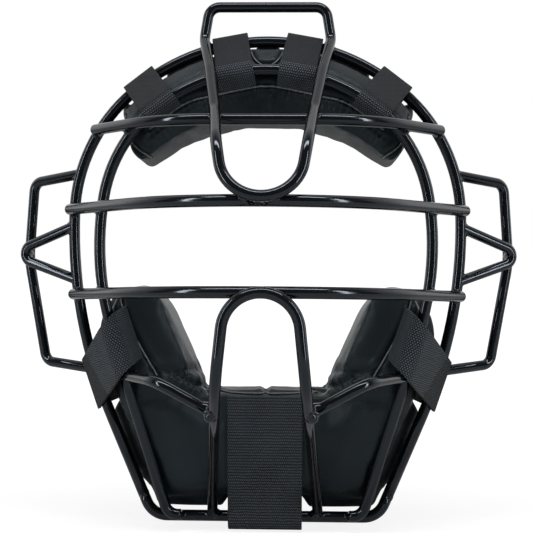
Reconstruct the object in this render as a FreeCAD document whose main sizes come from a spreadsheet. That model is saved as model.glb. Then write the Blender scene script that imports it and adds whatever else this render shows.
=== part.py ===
"""Catcher's face mask: a welded wire cage, two strapped-in pads and their seven webbing straps.

Millimetres. +Z is up as the mask is worn, -Y is the way the wearer looks, and +X is to the right
as an onlooker in front sees it. The origin is on the symmetry plane, in the plane of the outer
rim, at the middle of the face opening. Every wire is drawn by its centre line.
"""
import FreeCAD, Part
import math
import os

from FreeCAD import Rotation, Vector

doc = FreeCAD.newDocument("CatchersMask")

# ---------------------------------------------------------------------------------------------
# Driving sizes
# ---------------------------------------------------------------------------------------------

SIZES = {
    # the steel wire, with its coating, and how far a weld melts two crossing wires together
    "bar_wire": 6.0,
    "loop_wire": 5.6,
    "weld_bite": 0.15,
    # outer rim: a hoop of three tangent arcs a side, then a straight leg down to the chin bar;
    # each arc's radius is given by how far it is over or under the hoop's half width
    "outer_top": 125.8,
    "outer_half": 105.3,
    "outer_widest": 24.0,
    "outer_crown_flatter": 6.7,
    "outer_shoulder_tighter": 15.3,
    "outer_side_flatter": 156.7,
    "outer_foot_in": 38.9,
    "outer_foot_above_bar": 11.6,
    # chin bar: the outer rim's legs turn a corner into it
    "chin_bar_drop": 132.6,
    "chin_bar_corner": 12.0,
    # inner rim: a smaller hoop in front, so far inside the outer one, whose legs lean back to
    # the chin bar
    "inner_step_top": 19.2,
    "inner_step_side": 17.9,
    "inner_step_widest": 9.4,
    "inner_crown_flatter": 5.6,
    "inner_shoulder_tighter": 12.4,
    "inner_side_flatter": 66.6,
    "inner_setback": 22.8,
    "inner_step_leg": 18.0,
    "inner_leg_drop": 50.0,
    "inner_lean_drop": 38.0,
    "inner_lean_bend": 60.0,
    "inner_step_foot": 14.0,
    "inner_foot_rise": 1.5,
    "inner_foot_run": 7.0,
    "inner_foot_bend": 7.0,
    # the three cross bars: how far each stands forward, its height at the front and at the rim
    "brow_front": 50.0,
    "brow_height": 77.0,
    "eye_front": 90.0,
    "eye_height": 33.8,
    "mouth_front": 86.0,
    "mouth_drop": 9.3,
    "mouth_end_drop": 12.4,
    "bar_end_sunk": 1.4,
    "bar_overhang": -0.6,
    "bar_tip_round": 2.2,
    "cope_depth": 1.2,
    # crown loop, whose legs run on down the front of the cage to a U on the eye bar
    "crown_above_rim": 18.5,
    "crown_half": 31.6,
    "crown_corner": 6.5,
    "crown_rise": 3.0,
    "crown_neck_bend": 8.0,
    "crown_leg_bend": 22.0,
    "crown_leg_half": 34.0,
    "crown_brow_half": 24.8,
    "crown_knee_half": 21.7,
    "crown_knee_reach": 28.0,
    "crown_u_radius": 20.2,
    "crown_u_lean": 18.0,
    # lower U: an arch on the mouth bar whose legs run down and back to the chin bar
    "lower_u_radius": 18.6,
    "lower_u_knee_half": 21.2,
    "lower_u_knee_drop": 52.0,
    "lower_u_knee_bend": 30.0,
    "lower_u_foot_half": 28.8,
    # cheek bars
    "cheek_drop": 53.0,
    "cheek_knee_half": 51.7,
    "cheek_knee_bend": 14.0,
    "cheek_end_drop": 68.5,
    # ear guards and the small loops that the harness clips to
    "ear_root_height": 53.5,
    "ear_root_drop": 53.0,
    "ear_reach": 28.5,
    "ear_sweep": 16.0,
    "ear_corner_reach": 25.6,
    "ear_corner_height": 49.8,
    "ear_heel_reach": 18.5,
    "ear_heel_drop": 50.2,
    "ear_waist_height": 7.0,
    "ear_waist_bend": 60.0,
    "ear_corner_radius": 6.0,
    "harness_root_height": 25.0,
    "harness_root_drop": 4.5,
    "harness_apex_height": 9.6,
    "harness_reach": 3.4,
    "harness_apex_radius": 5.0,
    # pads: their clearances to the wires, their skin, and how deep they are behind the rim; an
    # edge is so far in from the outer rim's widest and so far below its top or its middle
    "pad_clearance": 0.5,
    "pad_skin": 1.6,
    "foam_clearance": 0.2,
    "pad_depth": 34.0,
    "pad_shoulder_depth": 5.0,
    "pad_draft": 20.0,
    "brow_pad_to_rim": 4.2,
    "brow_pad_edge_drop": 44.0,
    "brow_pad_edge_radius": 87.5,
    "brow_pad_tip_in": 38.9,
    "brow_pad_tip_drop": 68.9,
    "brow_pad_tip_bend": 4.0,
    "brow_pad_heel_in": 32.3,
    "brow_pad_heel_drop": 63.8,
    "brow_pad_heel_bend": 6.0,
    "brow_pad_side_in": 27.8,
    "brow_pad_side_drop": 41.8,
    "brow_pad_side_bend": 12.0,
    "chin_pad_to_rim": 6.0,
    "chin_pad_to_bar": 4.6,
    "chin_pad_lip_drop": 65.5,
    "chin_pad_lip_half": 33.6,
    "chin_pad_lip_bend": 8.0,
    "chin_pad_wing_drop": 7.0,
    "chin_pad_wing_inner_in": 44.3,
    "chin_pad_wing_inner_bend": 13.0,
    "chin_pad_wing_outer_in": 25.3,
    "chin_pad_wing_outer_bend": 9.0,
    "chin_pad_cheek_in": 16.3,
    "chin_pad_cheek_drop": 24.0,
    "chin_pad_cheek_bend": 20.0,
    # room for the wearer's face and chin behind the pads: half width, depth and height
    "face_half_width": 78.0,
    "face_half_depth": 100.0,
    "face_half_height": 165.0,
    "face_setback": 12.0,
    "chin_form_half_width": 46.0,
    "chin_form_half_depth": 50.0,
    "chin_form_half_height": 46.0,
    "chin_form_drop": 66.0,
    "chin_form_setback": 9.0,
    # straps of woven webbing, hook-and-loop tape, and where each strap crosses the rim
    "webbing": 1.6,
    "webbing_gap": 0.5,
    "webbing_lift": 0.8,
    "narrow_strap": 19.5,
    "cheek_strap": 24.5,
    "chin_strap": 40.0,
    "chin_fold_radius": 6.4,
    "tape": 1.0,
    "tape_margin": 1.0,
    "tape_bed": 6.0,
    "tape_start": 9.0,
    "tape_length": 17.0,
    "tail_length": 29.0,
    "top_strap_half": 19.8,
    "top_strap_past": 3.2,
    "side_strap_half": 68.0,
    "side_strap_past": 0.1,
    "cheek_strap_drop": 60.0,
    "cheek_strap_slant": 49.0,
    "cheek_strap_past": 2.7,
    "cheek_tail_above": 5.0,
    "cheek_tail_below": 13.0,
    "chin_strap_reach": 65.5,
}

sheet = doc.addObject("Spreadsheet::Sheet", "Sizes")
for row, (alias, value) in enumerate(SIZES.items(), start=1):
    sheet.set(f"A{row}", alias)
    sheet.set(f"B{row}", str(value))
    sheet.setAlias(f"B{row}", alias)
doc.recompute()


def size(alias):
    """A driving size, as it stands in the sheet."""
    return float(sheet.get(alias))


bar_radius = size("bar_wire") / 2
loop_radius = size("loop_wire") / 2
bar_on_bar = 2 * bar_radius - size("weld_bite")
loop_on_bar = bar_radius + loop_radius - size("weld_bite")
across = Vector(1, 0, 0)
finished = {}

# ---------------------------------------------------------------------------------------------
# Centre lines: straight runs joined by tangent arcs
# ---------------------------------------------------------------------------------------------


def line(start, end):
    return Part.LineSegment(start, end).toShape()


def arc_about(centre, start, end):
    """The short arc from start to end about a centre."""
    middle = (start - centre) + (end - centre)
    middle.normalize()
    middle = centre + middle * (start - centre).Length
    return Part.Arc(start, middle, end).toShape()


def bent(points, radii):
    """Edges along a route of points, with an arc of the given radius at each inner point."""
    edges = []
    start = points[0]
    for before, corner, after, radius in zip(points, points[1:], points[2:], radii):
        arriving = (corner - before).normalize()
        leaving = (after - corner).normalize()
        half_turn = arriving.getAngle(leaving) / 2
        reach = radius * math.tan(half_turn)
        inward = (leaving - arriving).normalize()
        centre = corner + inward * (radius / math.cos(half_turn))
        arc_start = corner - arriving * reach
        arc_end = corner + leaving * reach
        if (arc_start - start).Length > 1e-6:
            edges.append(line(start, arc_start))
        edges.append(arc_about(centre, arc_start, arc_end))
        start = arc_end
    edges.append(line(start, points[-1]))
    return edges


def mirrored(shape):
    """The same shape on the other side of the symmetry plane."""
    return shape.mirror(Vector(0, 0, 0), Vector(1, 0, 0))


def whole(edges):
    """One wire from the right-hand half's edges and their mirror images."""
    both = edges + [mirrored(edge) for edge in edges]
    return Part.Wire(Part.__sortEdges__(both))


def hoop_half(prefix, depth, top, half, widest, inset, foot):
    """Right half of an upright hoop, set in by a distance: crown, shoulder and side arcs, ending
    where a straight leg aimed at the foot leaves the side arc. Returns the edges and that point."""
    crown_radius = half + size(f"{prefix}_crown_flatter") - inset
    shoulder_radius = half - size(f"{prefix}_shoulder_tighter") - inset
    side_radius = half + size(f"{prefix}_side_flatter") - inset
    top = top - inset
    half = half - inset
    crown = Vector(0, depth, top - crown_radius)
    side = Vector(half - side_radius, depth, widest)
    from_crown = crown_radius - shoulder_radius
    from_side = side_radius - shoulder_radius
    between = side - crown
    along = (between.Length ** 2 + from_crown ** 2 - from_side ** 2) / (2 * between.Length)
    aside = math.sqrt(from_crown ** 2 - along ** 2)
    unit = Vector(between).normalize()
    square = Vector(-unit.z, 0, unit.x)
    if square.z < 0:
        square = -square
    shoulder = crown + unit * along + square * aside
    meets_crown = crown + (shoulder - crown).normalize() * crown_radius
    meets_side = side + (shoulder - side).normalize() * side_radius
    to_foot = foot - side
    swing = math.atan2(to_foot.z, to_foot.x) + math.acos(side_radius / to_foot.Length)
    leg_start = side + Vector(math.cos(swing), 0, math.sin(swing)) * side_radius
    edges = [
        arc_about(crown, Vector(0, depth, top), meets_crown),
        arc_about(shoulder, meets_crown, meets_side),
        arc_about(side, meets_side, leg_start),
    ]
    return edges, leg_start


def at_height(path, height):
    """Where the right-hand half of a wire passes a height, and the wire's direction there."""
    reach = 400
    level = Part.makePlane(reach, 2 * reach, Vector(0, -reach, height))
    gap, pairs, detail = path.distToShape(level)
    edge = path.Edges[detail[0][1]]
    spot = pairs[0][0]
    direction = edge.tangentAt(edge.Curve.parameter(spot))
    return spot, direction


def at_width(path, half):
    """Where the upper half of a wire passes a half width, and the wire's direction there."""
    reach = 400
    wall = Part.Face(Part.makePolygon([
        Vector(half, -reach, 0), Vector(half, reach, 0),
        Vector(half, reach, reach), Vector(half, -reach, reach), Vector(half, -reach, 0)]))
    gap, pairs, detail = path.distToShape(wall)
    edge = path.Edges[detail[0][1]]
    spot = pairs[0][0]
    return spot, edge.tangentAt(edge.Curve.parameter(spot))


# ---------------------------------------------------------------------------------------------
# Round wire
# ---------------------------------------------------------------------------------------------


def add_wire(name, path, gauge, grown=0):
    """A round wire of the given gauge, swept along its centre line, or the room around it."""
    spine = doc.addObject("Part::Feature", name + "_line")
    spine.Shape = path
    start = path.OrderedVertexes[0].Point
    first = path.OrderedEdges[0]
    direction = first.tangentAt(first.Curve.parameter(start))
    section = doc.addObject("Part::Circle", name + "_section")
    section.setExpression("Radius", f"Sizes.{gauge} / 2 + {grown}")
    section.Placement = FreeCAD.Placement(start, Rotation(Vector(0, 0, 1), direction))
    sweep = doc.addObject("Part::Sweep", name + "_sweep")
    sweep.Sections = [section]
    sweep.Spine = (spine, [f"Edge{number}" for number in range(1, len(path.Edges) + 1)])
    sweep.Solid = True
    sweep.Frenet = False
    return sweep


def cope(name, piece, onto):
    """The piece with its ends cut to seat on the pieces that it is welded to."""
    for number, seat in enumerate(onto, start=1):
        cut = doc.addObject("Part::Cut", f"{name}_cope_{number}")
        cut.Base = piece
        cut.Tool = seat
        piece = cut
    return piece


def finish(name, piece):
    piece.Label = name
    finished[name] = piece


# Outer rim --------------------------------------------------------------------------------

chin_level = -size("chin_bar_drop")
outer_top = size("outer_top")
outer_half = size("outer_half")
foot_half = outer_half - size("outer_foot_in")
outer_foot = Vector(foot_half, 0, chin_level + size("outer_foot_above_bar"))
outer_edges, outer_leg = hoop_half(
    "outer", 0, outer_top, outer_half, size("outer_widest"), 0, outer_foot)
outer_path = whole(outer_edges + [line(outer_leg, outer_foot)])
outer_rim = add_wire("outer_rim", outer_path, "bar_wire")
finish("outer_rim", outer_rim)

# Chin bar: starts on the outer rim's legs, butt-welded, and turns a corner at each side ---------

leg_direction = (outer_foot - outer_leg).normalize()
corner = outer_foot + leg_direction * ((chin_level - outer_foot.z) / leg_direction.z)
chin_edges = bent([outer_foot, corner, Vector(0, 0, chin_level)], [size("chin_bar_corner")])
chin_path = whole(chin_edges)
chin_bar = add_wire("chin_bar", chin_path, "bar_wire")
finish("chin_bar", chin_bar)

# Inner rim: leans back below the cheeks and lies along the front of the chin bar ----------------

inner_depth = -size("inner_setback")
beside_leg, _ = at_height(outer_path, -size("inner_leg_drop"))
inner_aim = Vector(beside_leg.x - size("inner_step_leg"), inner_depth, beside_leg.z)
inner_edges, inner_leg = hoop_half(
    "inner", inner_depth, outer_top - size("inner_step_top"), outer_half - size("inner_step_side"),
    size("outer_widest") - size("inner_step_widest"), 0, inner_aim)
aim = (inner_aim - inner_leg).normalize()
lean = inner_leg + aim * ((-size("inner_lean_drop") - inner_leg.z) / aim.z)
foot_rise = size("inner_foot_rise")
foot_depth = -math.sqrt(bar_on_bar ** 2 - foot_rise ** 2)
inner_foot = Vector(foot_half - size("inner_step_foot"), foot_depth, chin_level + foot_rise)
inner_end = inner_foot - Vector(size("inner_foot_run"), 0, 0)
inner_edges += bent(
    [inner_leg, lean, inner_foot, inner_end], [size("inner_lean_bend"), size("inner_foot_bend")])
inner_path = whole(inner_edges)
inner_rim = add_wire("inner_rim", inner_path, "bar_wire")
finish("inner_rim", inner_rim)

# Cross bars: a front arc, then straight ends laid across the front of both rims ----------------


def off_rim(spot, direction, run, stand_off):
    """The place in a level bar's plane that is a stand-off in front of a rim, for a bar
    that crosses the rim along run."""
    slope = direction.x / direction.z
    spread = stand_off * math.sqrt(1 + (run.y * slope) ** 2)
    return Vector(spot.x - run.y * -spread, spot.y + run.x * -spread, spot.z)


def bar_end(height, off_outer, off_inner):
    """Two points of a bar's straight end: in front of the outer rim and of the inner rim."""
    outer_spot, outer_way = at_height(outer_path, height)
    inner_spot, inner_way = at_height(inner_path, height)
    run = outer_spot - inner_spot
    run.z = 0
    run.normalize()
    return off_rim(outer_spot, outer_way, run, off_outer), off_rim(inner_spot, inner_way, run, off_inner)


def settled(draw, beneath):
    """A wire's route, drawn with a distance off each wire beneath it, and drawn again until it
    is just as far from every one of them as it should be. beneath holds (wire, distance)."""
    distances = [stand_off for wire, stand_off in beneath]
    for attempt in range(12):
        route = draw(*distances)
        for number, (wire, stand_off) in enumerate(beneath):
            distances[number] += stand_off - route.distToShape(wire)[0]
    return draw(*distances)


def cross_bar(front, height, end_height, off_outer, off_inner):
    """Centre line of a cross bar. Its straight ends lie across both rims, and between them it
    is one arc, or two with a short flat front where one arc would reach the inner rim."""
    outer_spot, inner_spot = bar_end(end_height, off_outer, off_inner)
    run = (outer_spot - inner_spot).normalize()
    knee = inner_spot - run * ((inner_spot.y + front) / run.y)
    reach = min(knee.x, (inner_spot - knee).Length - bar_radius)
    radius = reach / math.tan(across.getAngle(run) / 2)
    tip = outer_spot + run * size("bar_overhang")
    path = whole(bent([Vector(0, -front, end_height), knee, tip], [radius]))
    tilt = math.degrees(math.atan2(height - end_height, front))
    path.rotate(Vector(0, 0, end_height), Vector(1, 0, 0), -tilt)
    return path


def round_tips(name, wire, path):
    """The wire with the rims of its two end faces rounded over."""
    doc.recompute()
    ends = [vertex.Point for vertex in path.OrderedVertexes]
    tips = [ends[0], ends[-1]]
    rounding = size("bar_tip_round")
    chosen = []
    for number, edge in enumerate(wire.Shape.Edges, start=1):
        centre = edge.CenterOfMass
        if edge.isClosed() and min((centre - tip).Length for tip in tips) < size("weld_bite"):
            chosen.append((number, rounding, rounding))
    rounded = doc.addObject("Part::Fillet", name + "_rounded")
    rounded.Base = wire
    rounded.Edges = chosen
    return rounded


BAR_HEIGHTS = {
    "brow": (size("brow_height"), size("brow_height")),
    "eye": (size("eye_height"), size("eye_height")),
    "mouth": (-size("mouth_drop"), -size("mouth_end_drop")),
}
bar_paths = {}
for name, (height, end_height) in BAR_HEIGHTS.items():
    front = size(name + "_front")
    path = settled(
        lambda off_outer, off_inner: cross_bar(front, height, end_height, off_outer, off_inner),
        [(outer_path, bar_on_bar - size("bar_end_sunk")), (inner_path, bar_on_bar)])
    bar_paths[name] = path
    bar = add_wire(name + "_bar", path, "bar_wire")
    rounded = round_tips(name + "_bar", bar, path)
    finish(name + "_bar", cope(name + "_bar", rounded, [outer_rim]))
brow_path = bar_paths["brow"]

# Crown loop: one closed wire, laid over both rims and the brow bar and down onto the eye bar ----


def in_front(before, spot, after, stand_off):
    """The place in front of a spot for a wire that comes from before and leaves for after."""
    run = Vector(0, after.y - before.y, after.z - before.z).normalize()
    return Vector(spot.x, spot.y + run.z * stand_off, spot.z - run.y * stand_off)


def u_end(apex, away, radius, knee_half, knee_reach):
    """The round end of a U, from its right knee to its apex: the knee, the point where the leg
    meets the arc, and the arc's centre. away points from the apex up the middle of the U."""
    centre = apex + away * radius
    knee = apex + away * knee_reach + across * knee_half
    to_knee = Vector(knee_half, knee_reach - radius, 0)
    swing = math.atan2(to_knee.y, to_knee.x) - math.acos(radius / to_knee.Length)
    meets = centre + across * (radius * math.cos(swing)) + away * (radius * math.sin(swing))
    return knee, meets, centre


def mirror_and_join(name, half, part_type="Part::Fuse"):
    twin = doc.addObject("Part::Mirroring", name + "_twin")
    twin.Source = half
    twin.Normal = across
    joined = doc.addObject(part_type, name + "_joined")
    joined.Base = half
    joined.Tool = twin
    return joined


lean_angle = math.radians(size("crown_u_lean"))
u_up = Vector(0, math.sin(lean_angle), math.cos(lean_angle))
u_out = Vector(0, -math.cos(lean_angle), math.sin(lean_angle))
u_apex = Vector(0, -size("eye_front"), size("eye_height")) + u_out * loop_on_bar
crown_knee, crown_meets, crown_centre = u_end(
    u_apex, u_up, size("crown_u_radius"), size("crown_knee_half"), size("crown_knee_reach"))
rim_spot, _ = at_width(outer_path, size("crown_leg_half"))
brow_spot, _ = at_width(brow_path, size("crown_brow_half"))
inner_spot, _ = at_width(inner_path, (size("crown_leg_half") + size("crown_brow_half")) / 2)


def crown_route(off_rim_wire, off_inner, off_brow):
    """Right half of the crown loop, laid over the two rims and the brow bar."""
    over_rim = in_front(rim_spot, rim_spot, inner_spot, off_rim_wire)
    over_inner = in_front(rim_spot, inner_spot, brow_spot, off_inner)
    over_brow = in_front(inner_spot, brow_spot, crown_knee, off_brow)
    bend = over_rim + (over_rim - over_inner).normalize() * size("crown_rise")
    top = outer_top + size("crown_above_rim")
    corner = Vector(size("crown_half"), bend.y, top)
    middle = Vector(0, bend.y, top)
    gentle = size("crown_leg_bend")
    edges = bent(
        [middle, corner, bend, over_inner, over_brow, crown_knee, crown_meets],
        [size("crown_corner"), size("crown_neck_bend"), gentle, gentle, gentle])
    return Part.Wire(edges + [arc_about(crown_centre, crown_meets, u_apex)])


crown_path = settled(
    crown_route, [(outer_path, loop_on_bar), (inner_path, loop_on_bar), (brow_path, loop_on_bar)])
crown_half = add_wire("crown_loop", crown_path, "loop_wire")
finish("crown_loop", mirror_and_join("crown_loop", crown_half))

# Lower U: an arch on the mouth bar; its legs run down, then back to the chin bar ----------------

arch_apex = Vector(0, -size("mouth_front") - loop_on_bar, -size("mouth_drop"))
arch_knee, arch_meets, arch_centre = u_end(
    arch_apex, Vector(0, 0, -1), size("lower_u_radius"), size("lower_u_knee_half"),
    size("lower_u_knee_drop") - size("mouth_drop"))
arch_foot = Vector(size("lower_u_foot_half"), 0, chin_level)
arch_edges = bent([arch_foot, arch_knee, arch_meets], [size("lower_u_knee_bend")])
arch_edges.append(arc_about(arch_centre, arch_meets, arch_apex))
lower_u = add_wire("lower_u", whole(arch_edges), "loop_wire")
finish("lower_u", cope("lower_u", lower_u, [chin_bar]))

# Cheek bars, ear guards and harness loops, one of each a side -----------------------------------

leg_run = (arch_knee - arch_foot).normalize()
cheek_meets = arch_foot + leg_run * ((-size("cheek_end_drop") - arch_foot.z) / leg_run.z)


def cheek_route(off_inner):
    """Right-hand cheek bar: from the outer rim level over the inner rim, then down to the
    lower U's leg."""
    outer_spot, _ = at_height(outer_path, -size("cheek_drop"))
    _, over_inner = bar_end(-size("cheek_drop"), 0, off_inner)
    run = (over_inner - outer_spot).normalize()
    knee = over_inner + run * ((size("cheek_knee_half") - over_inner.x) / run.x)
    end = cheek_meets + (knee - cheek_meets).normalize() * size("cope_depth")
    return Part.Wire(bent([outer_spot, knee, end], [size("cheek_knee_bend")]))


cheek_path = settled(cheek_route, [(inner_path, loop_on_bar)])

ear_top, _ = at_height(outer_path, size("ear_root_height"))
ear_bottom, _ = at_height(outer_path, -size("ear_root_drop"))
sweep_back = size("ear_sweep")
ear_half = outer_half + size("ear_reach")
ear_waist = Vector(ear_half, sweep_back, size("ear_waist_height"))
ear_corner = Vector(outer_half + size("ear_corner_reach"), sweep_back, size("ear_corner_height"))
ear_heel = Vector(outer_half + size("ear_heel_reach"), sweep_back, -size("ear_heel_drop"))
ear_path = Part.Wire(bent(
    [ear_top, ear_corner, ear_waist, ear_heel, ear_bottom],
    [size("ear_corner_radius"), size("ear_waist_bend"), size("ear_corner_radius")]))

harness_top, _ = at_height(outer_path, size("harness_root_height"))
harness_bottom, _ = at_height(outer_path, -size("harness_root_drop"))


def harness_route(off_ear):
    """Right-hand harness loop: a triangle from the outer rim, its apex over the ear guard."""
    bend = size("harness_apex_radius")
    reach = ear_half + size("harness_reach")
    opening = math.atan2(harness_top.z - harness_bottom.z, 2 * (reach - harness_top.x))
    reach += bend * (1 / math.sin(opening) - 1)
    over_ear = sweep_back - off_ear
    depth = over_ear * (reach - harness_top.x) / (ear_half - harness_top.x)
    apex = Vector(reach, depth, size("harness_apex_height"))
    return Part.Wire(bent([harness_top, apex, harness_bottom], [bend]))


harness_path = settled(harness_route, [(ear_path, 2 * loop_radius - size("weld_bite"))])

for side in ("right", "left"):
    turn = (lambda path: path) if side == "right" else mirrored
    cheek_bar = add_wire(f"cheek_bar_{side}", turn(cheek_path), "loop_wire")
    cheek_bar = cope(f"cheek_bar_{side}", cheek_bar, [lower_u, outer_rim])
    finish(f"cheek_bar_{side}", cheek_bar)
    ear_guard = add_wire(f"ear_guard_{side}", turn(ear_path), "loop_wire")
    finish(f"ear_guard_{side}", cope(f"ear_guard_{side}", ear_guard, [outer_rim, cheek_bar]))
    harness_loop = add_wire(f"harness_loop_{side}", turn(harness_path), "loop_wire")
    finish(f"harness_loop_{side}", cope(f"harness_loop_{side}", harness_loop, [outer_rim]))

# Pads: a skin over foam, between the rims and the face ----------------------------------------

pad_front = -size("inner_setback") + bar_radius + size("pad_clearance")
pad_back = size("pad_depth")
shoulder = size("pad_shoulder_depth")
draft = math.tan(math.radians(size("pad_draft")))
far = outer_top + outer_half


def inside_rim(depth, inset):
    """The outer rim's outline at a depth, set in by a distance and carried on below the chin."""
    inward = Vector(-leg_direction.z, 0, leg_direction.x) * -inset
    if inward.x > 0:
        inward = -inward
    foot = outer_foot + leg_direction * size("pad_depth") + inward + Vector(0, depth, 0)
    edges, leg = hoop_half("outer", depth, outer_top, outer_half, size("outer_widest"), inset, foot)
    foot_line = line(foot, Vector(0, depth, foot.z))
    return whole(edges + [line(leg, foot), foot_line])


def add_shape(name, shape):
    piece = doc.addObject("Part::Feature", name)
    piece.Shape = shape
    return piece


def add_boolean(kind, name, base, tool):
    piece = doc.addObject(f"Part::{kind}", name)
    piece.Base = base
    piece.Tool = tool
    return piece


def rim_core(name, to_rim, inset):
    """A body that fills the outer rim: bevelled in front, just under the wires that cross from
    rim to rim, straight-walled to the shoulder and drafted behind it."""
    front = pad_front + inset
    back = pad_back - inset
    side = to_rim + inset
    between = size("inner_step_top")
    rim_to_rim = math.hypot(between, inner_depth)
    under_wires = bar_radius - size("weld_bite") - size("pad_clearance") - inset
    bevel_side = (front * between + under_wires * rim_to_rim) / inner_depth
    bevel_back = front - (bevel_side - side) * inner_depth / between
    sections = [
        add_shape(f"{name}_front", inside_rim(front, bevel_side)),
        add_shape(f"{name}_bevel", inside_rim(bevel_back, side)),
        add_shape(f"{name}_shoulder", inside_rim(shoulder, side)),
        add_shape(f"{name}_back", inside_rim(back, side + (back - shoulder) * draft)),
    ]
    loft = doc.addObject("Part::Loft", name)
    loft.Sections = sections
    loft.Solid = True
    loft.Ruled = True
    return loft


def outline_block(name, top, corners, bottom, inset):
    """A block as deep as the pads, from the right half of its outline seen from the front. The
    outline crosses the middle at two heights, and each corner is (half, height, bend)."""
    points = [Vector(0, 0, top)]
    points += [Vector(half, 0, height) for half, height, bend in corners]
    points.append(Vector(0, 0, bottom))
    edges = bent(points, [bend for half, height, bend in corners])
    outline = Part.Face(whole(edges))
    if inset:
        outline = outline.makeOffset2D(-inset)
    profile = add_shape(name + "_outline", outline)
    block = doc.addObject("Part::Extrusion", name)
    block.Base = profile
    block.Dir = Vector(0, 1, 0)
    block.LengthFwd = far
    block.LengthRev = far
    block.Solid = True
    return block


def face_room(name, prefix, drop, inset):
    """The room that the face takes behind a pad, as an ellipsoid."""
    room = doc.addObject("Part::Ellipsoid", name)
    room.setExpression("Radius1", f"Sizes.{prefix}_half_height + {inset}")
    room.setExpression("Radius2", f"Sizes.{prefix}_half_width + {inset}")
    room.setExpression("Radius3", f"Sizes.{prefix}_half_depth + {inset}")
    centre = size(f"{prefix}_setback") + size(f"{prefix}_half_depth")
    room.Placement = FreeCAD.Placement(Vector(0, centre, -drop), Rotation())
    return room


def brow_pad(name, inset):
    core = rim_core(name + "_core", size("brow_pad_to_rim"), inset)
    edge = outer_top - size("brow_pad_edge_drop")
    tip_half = outer_half - size("brow_pad_tip_in")
    tip_height = outer_top - size("brow_pad_tip_drop")
    heel_half = outer_half - size("brow_pad_heel_in")
    heel_height = outer_top - size("brow_pad_heel_drop")
    side_half = outer_half - size("brow_pad_side_in")
    side_height = outer_top - size("brow_pad_side_drop")
    turn_half = (tip_half ** 2 + (edge - tip_height) ** 2) / (2 * tip_half)
    corners = [
        (turn_half, edge, size("brow_pad_edge_radius")),
        (tip_half, tip_height, size("brow_pad_tip_bend")),
        (heel_half, heel_height, size("brow_pad_heel_bend")),
        (side_half, side_height, size("brow_pad_side_bend")),
        (far, side_height + far - side_half, size("brow_pad_side_bend")),
    ]
    block = outline_block(name + "_block", edge, corners, 2 * far, inset)
    pad = add_boolean("Common", name + "_blank", core, block)
    room = face_room(name + "_room", "face", 0, inset)
    return add_boolean("Cut", name + "_form", pad, room)


def lean_front(height):
    """How far forward the chin pad comes at a height below the lean of the inner rim's legs."""
    return pad_front + (inner_foot.y - lean.y) * (height - lean.z) / (inner_foot.z - lean.z)


def chin_pad(name, inset):
    core = rim_core(name + "_core", size("chin_pad_to_rim"), inset)
    lip = -size("chin_pad_lip_drop")
    wing = -size("chin_pad_wing_drop")
    cheek_bend = size("chin_pad_cheek_bend")
    wing_inner = outer_half - size("chin_pad_wing_inner_in")
    wing_outer = outer_half - size("chin_pad_wing_outer_in")
    cheek_half = outer_half - size("chin_pad_cheek_in")
    corners = [
        (size("chin_pad_lip_half"), lip, size("chin_pad_lip_bend")),
        (wing_inner, wing, size("chin_pad_wing_inner_bend")),
        (wing_outer, wing, size("chin_pad_wing_outer_bend")),
        (cheek_half, -size("chin_pad_cheek_drop"), cheek_bend),
        (cheek_half, lip, cheek_bend),
        (far, -far, cheek_bend),
    ]
    block = outline_block(name + "_block", lip, corners, -far, inset)
    pad = add_boolean("Common", name + "_blank", core, block)
    bottom = chin_level + bar_radius + size("chin_pad_to_bar") + inset
    heel = bottom + (pad_back - shoulder) * draft
    front = pad_front + inset
    side_view = [
        (front, far), (front, lean.z), (lean_front(bottom) + inset, bottom), (shoulder, bottom),
        (pad_back, heel), (pad_back + far, heel), (pad_back + far, far), (front, far)]
    profile = add_shape(name + "_side", Part.Face(Part.makePolygon([Vector(0, y, z) for y, z in side_view])))
    wedge = doc.addObject("Part::Extrusion", name + "_wedge")
    wedge.Base = profile
    wedge.Dir = across
    wedge.LengthFwd = far
    wedge.LengthRev = far
    wedge.Solid = True
    pad = add_boolean("Common", name + "_shaped", pad, wedge)
    room = face_room(name + "_room", "face", 0, inset)
    pad = add_boolean("Cut", name + "_faced", pad, room)
    chin_room = face_room(name + "_chin_room", "chin_form", size("chin_form_drop"), inset)
    pad = add_boolean("Cut", name + "_form", pad, chin_room)
    for side, path in (("right", cheek_path), ("left", mirrored(cheek_path))):
        groove = add_wire(f"{name}_groove_{side}", path, "loop_wire", size("pad_clearance") + inset)
        pad = add_boolean("Cut", f"{name}_grooved_{side}", pad, groove)
    return pad


pads = {}
for name, make in [("forehead_pad", brow_pad), ("chin_pad", chin_pad)]:
    outside = make(name, 0)
    hollow = make(name + "_hollow", size("pad_skin"))
    finish(name + "_foam", make(name + "_foam", size("pad_skin") + size("foam_clearance")))
    finish(name + "_cover", add_boolean("Cut", name + "_skin", outside, hollow))
    pads[name] = outside

# Straps ---------------------------------------------------------------------------------------

webbing = size("webbing")
wrap = bar_radius + size("webbing_gap") + webbing / 2


class StrapPlane:
    """The upright plane that a strap's side view is drawn in, square to a wire: u runs outward
    from the wire and y back, and the strap's width runs along the wire, downward."""

    def __init__(self, origin, along_wire):
        self.origin = origin
        self.width_way = along_wire * (-1 if along_wire.z > 0 else 1)
        self.outward = Vector(-self.width_way.z, 0, self.width_way.x)
        if self.outward.dot(origin) < 0:
            self.outward = -self.outward

    def place(self, spot):
        return self.origin + self.outward * spot[0] + Vector(0, spot[1], 0)

    def meets(self, path):
        """Where a wire passes through the plane on the inner side of the rim, as (u, y)."""
        inner = -far / 2
        outline = [(inner, -far), (-bar_radius, -far), (-bar_radius, 0), (inner, 0), (inner, -far)]
        window = Part.Face(Part.makePolygon([self.place(spot) for spot in outline]))
        gap, pairs, detail = path.distToShape(window)
        offset = pairs[0][0] - self.origin
        return offset.dot(self.outward), offset.y


def on_circle(centre, radius, heading):
    return centre[0] + radius * math.cos(heading), centre[1] + radius * math.sin(heading)


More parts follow.
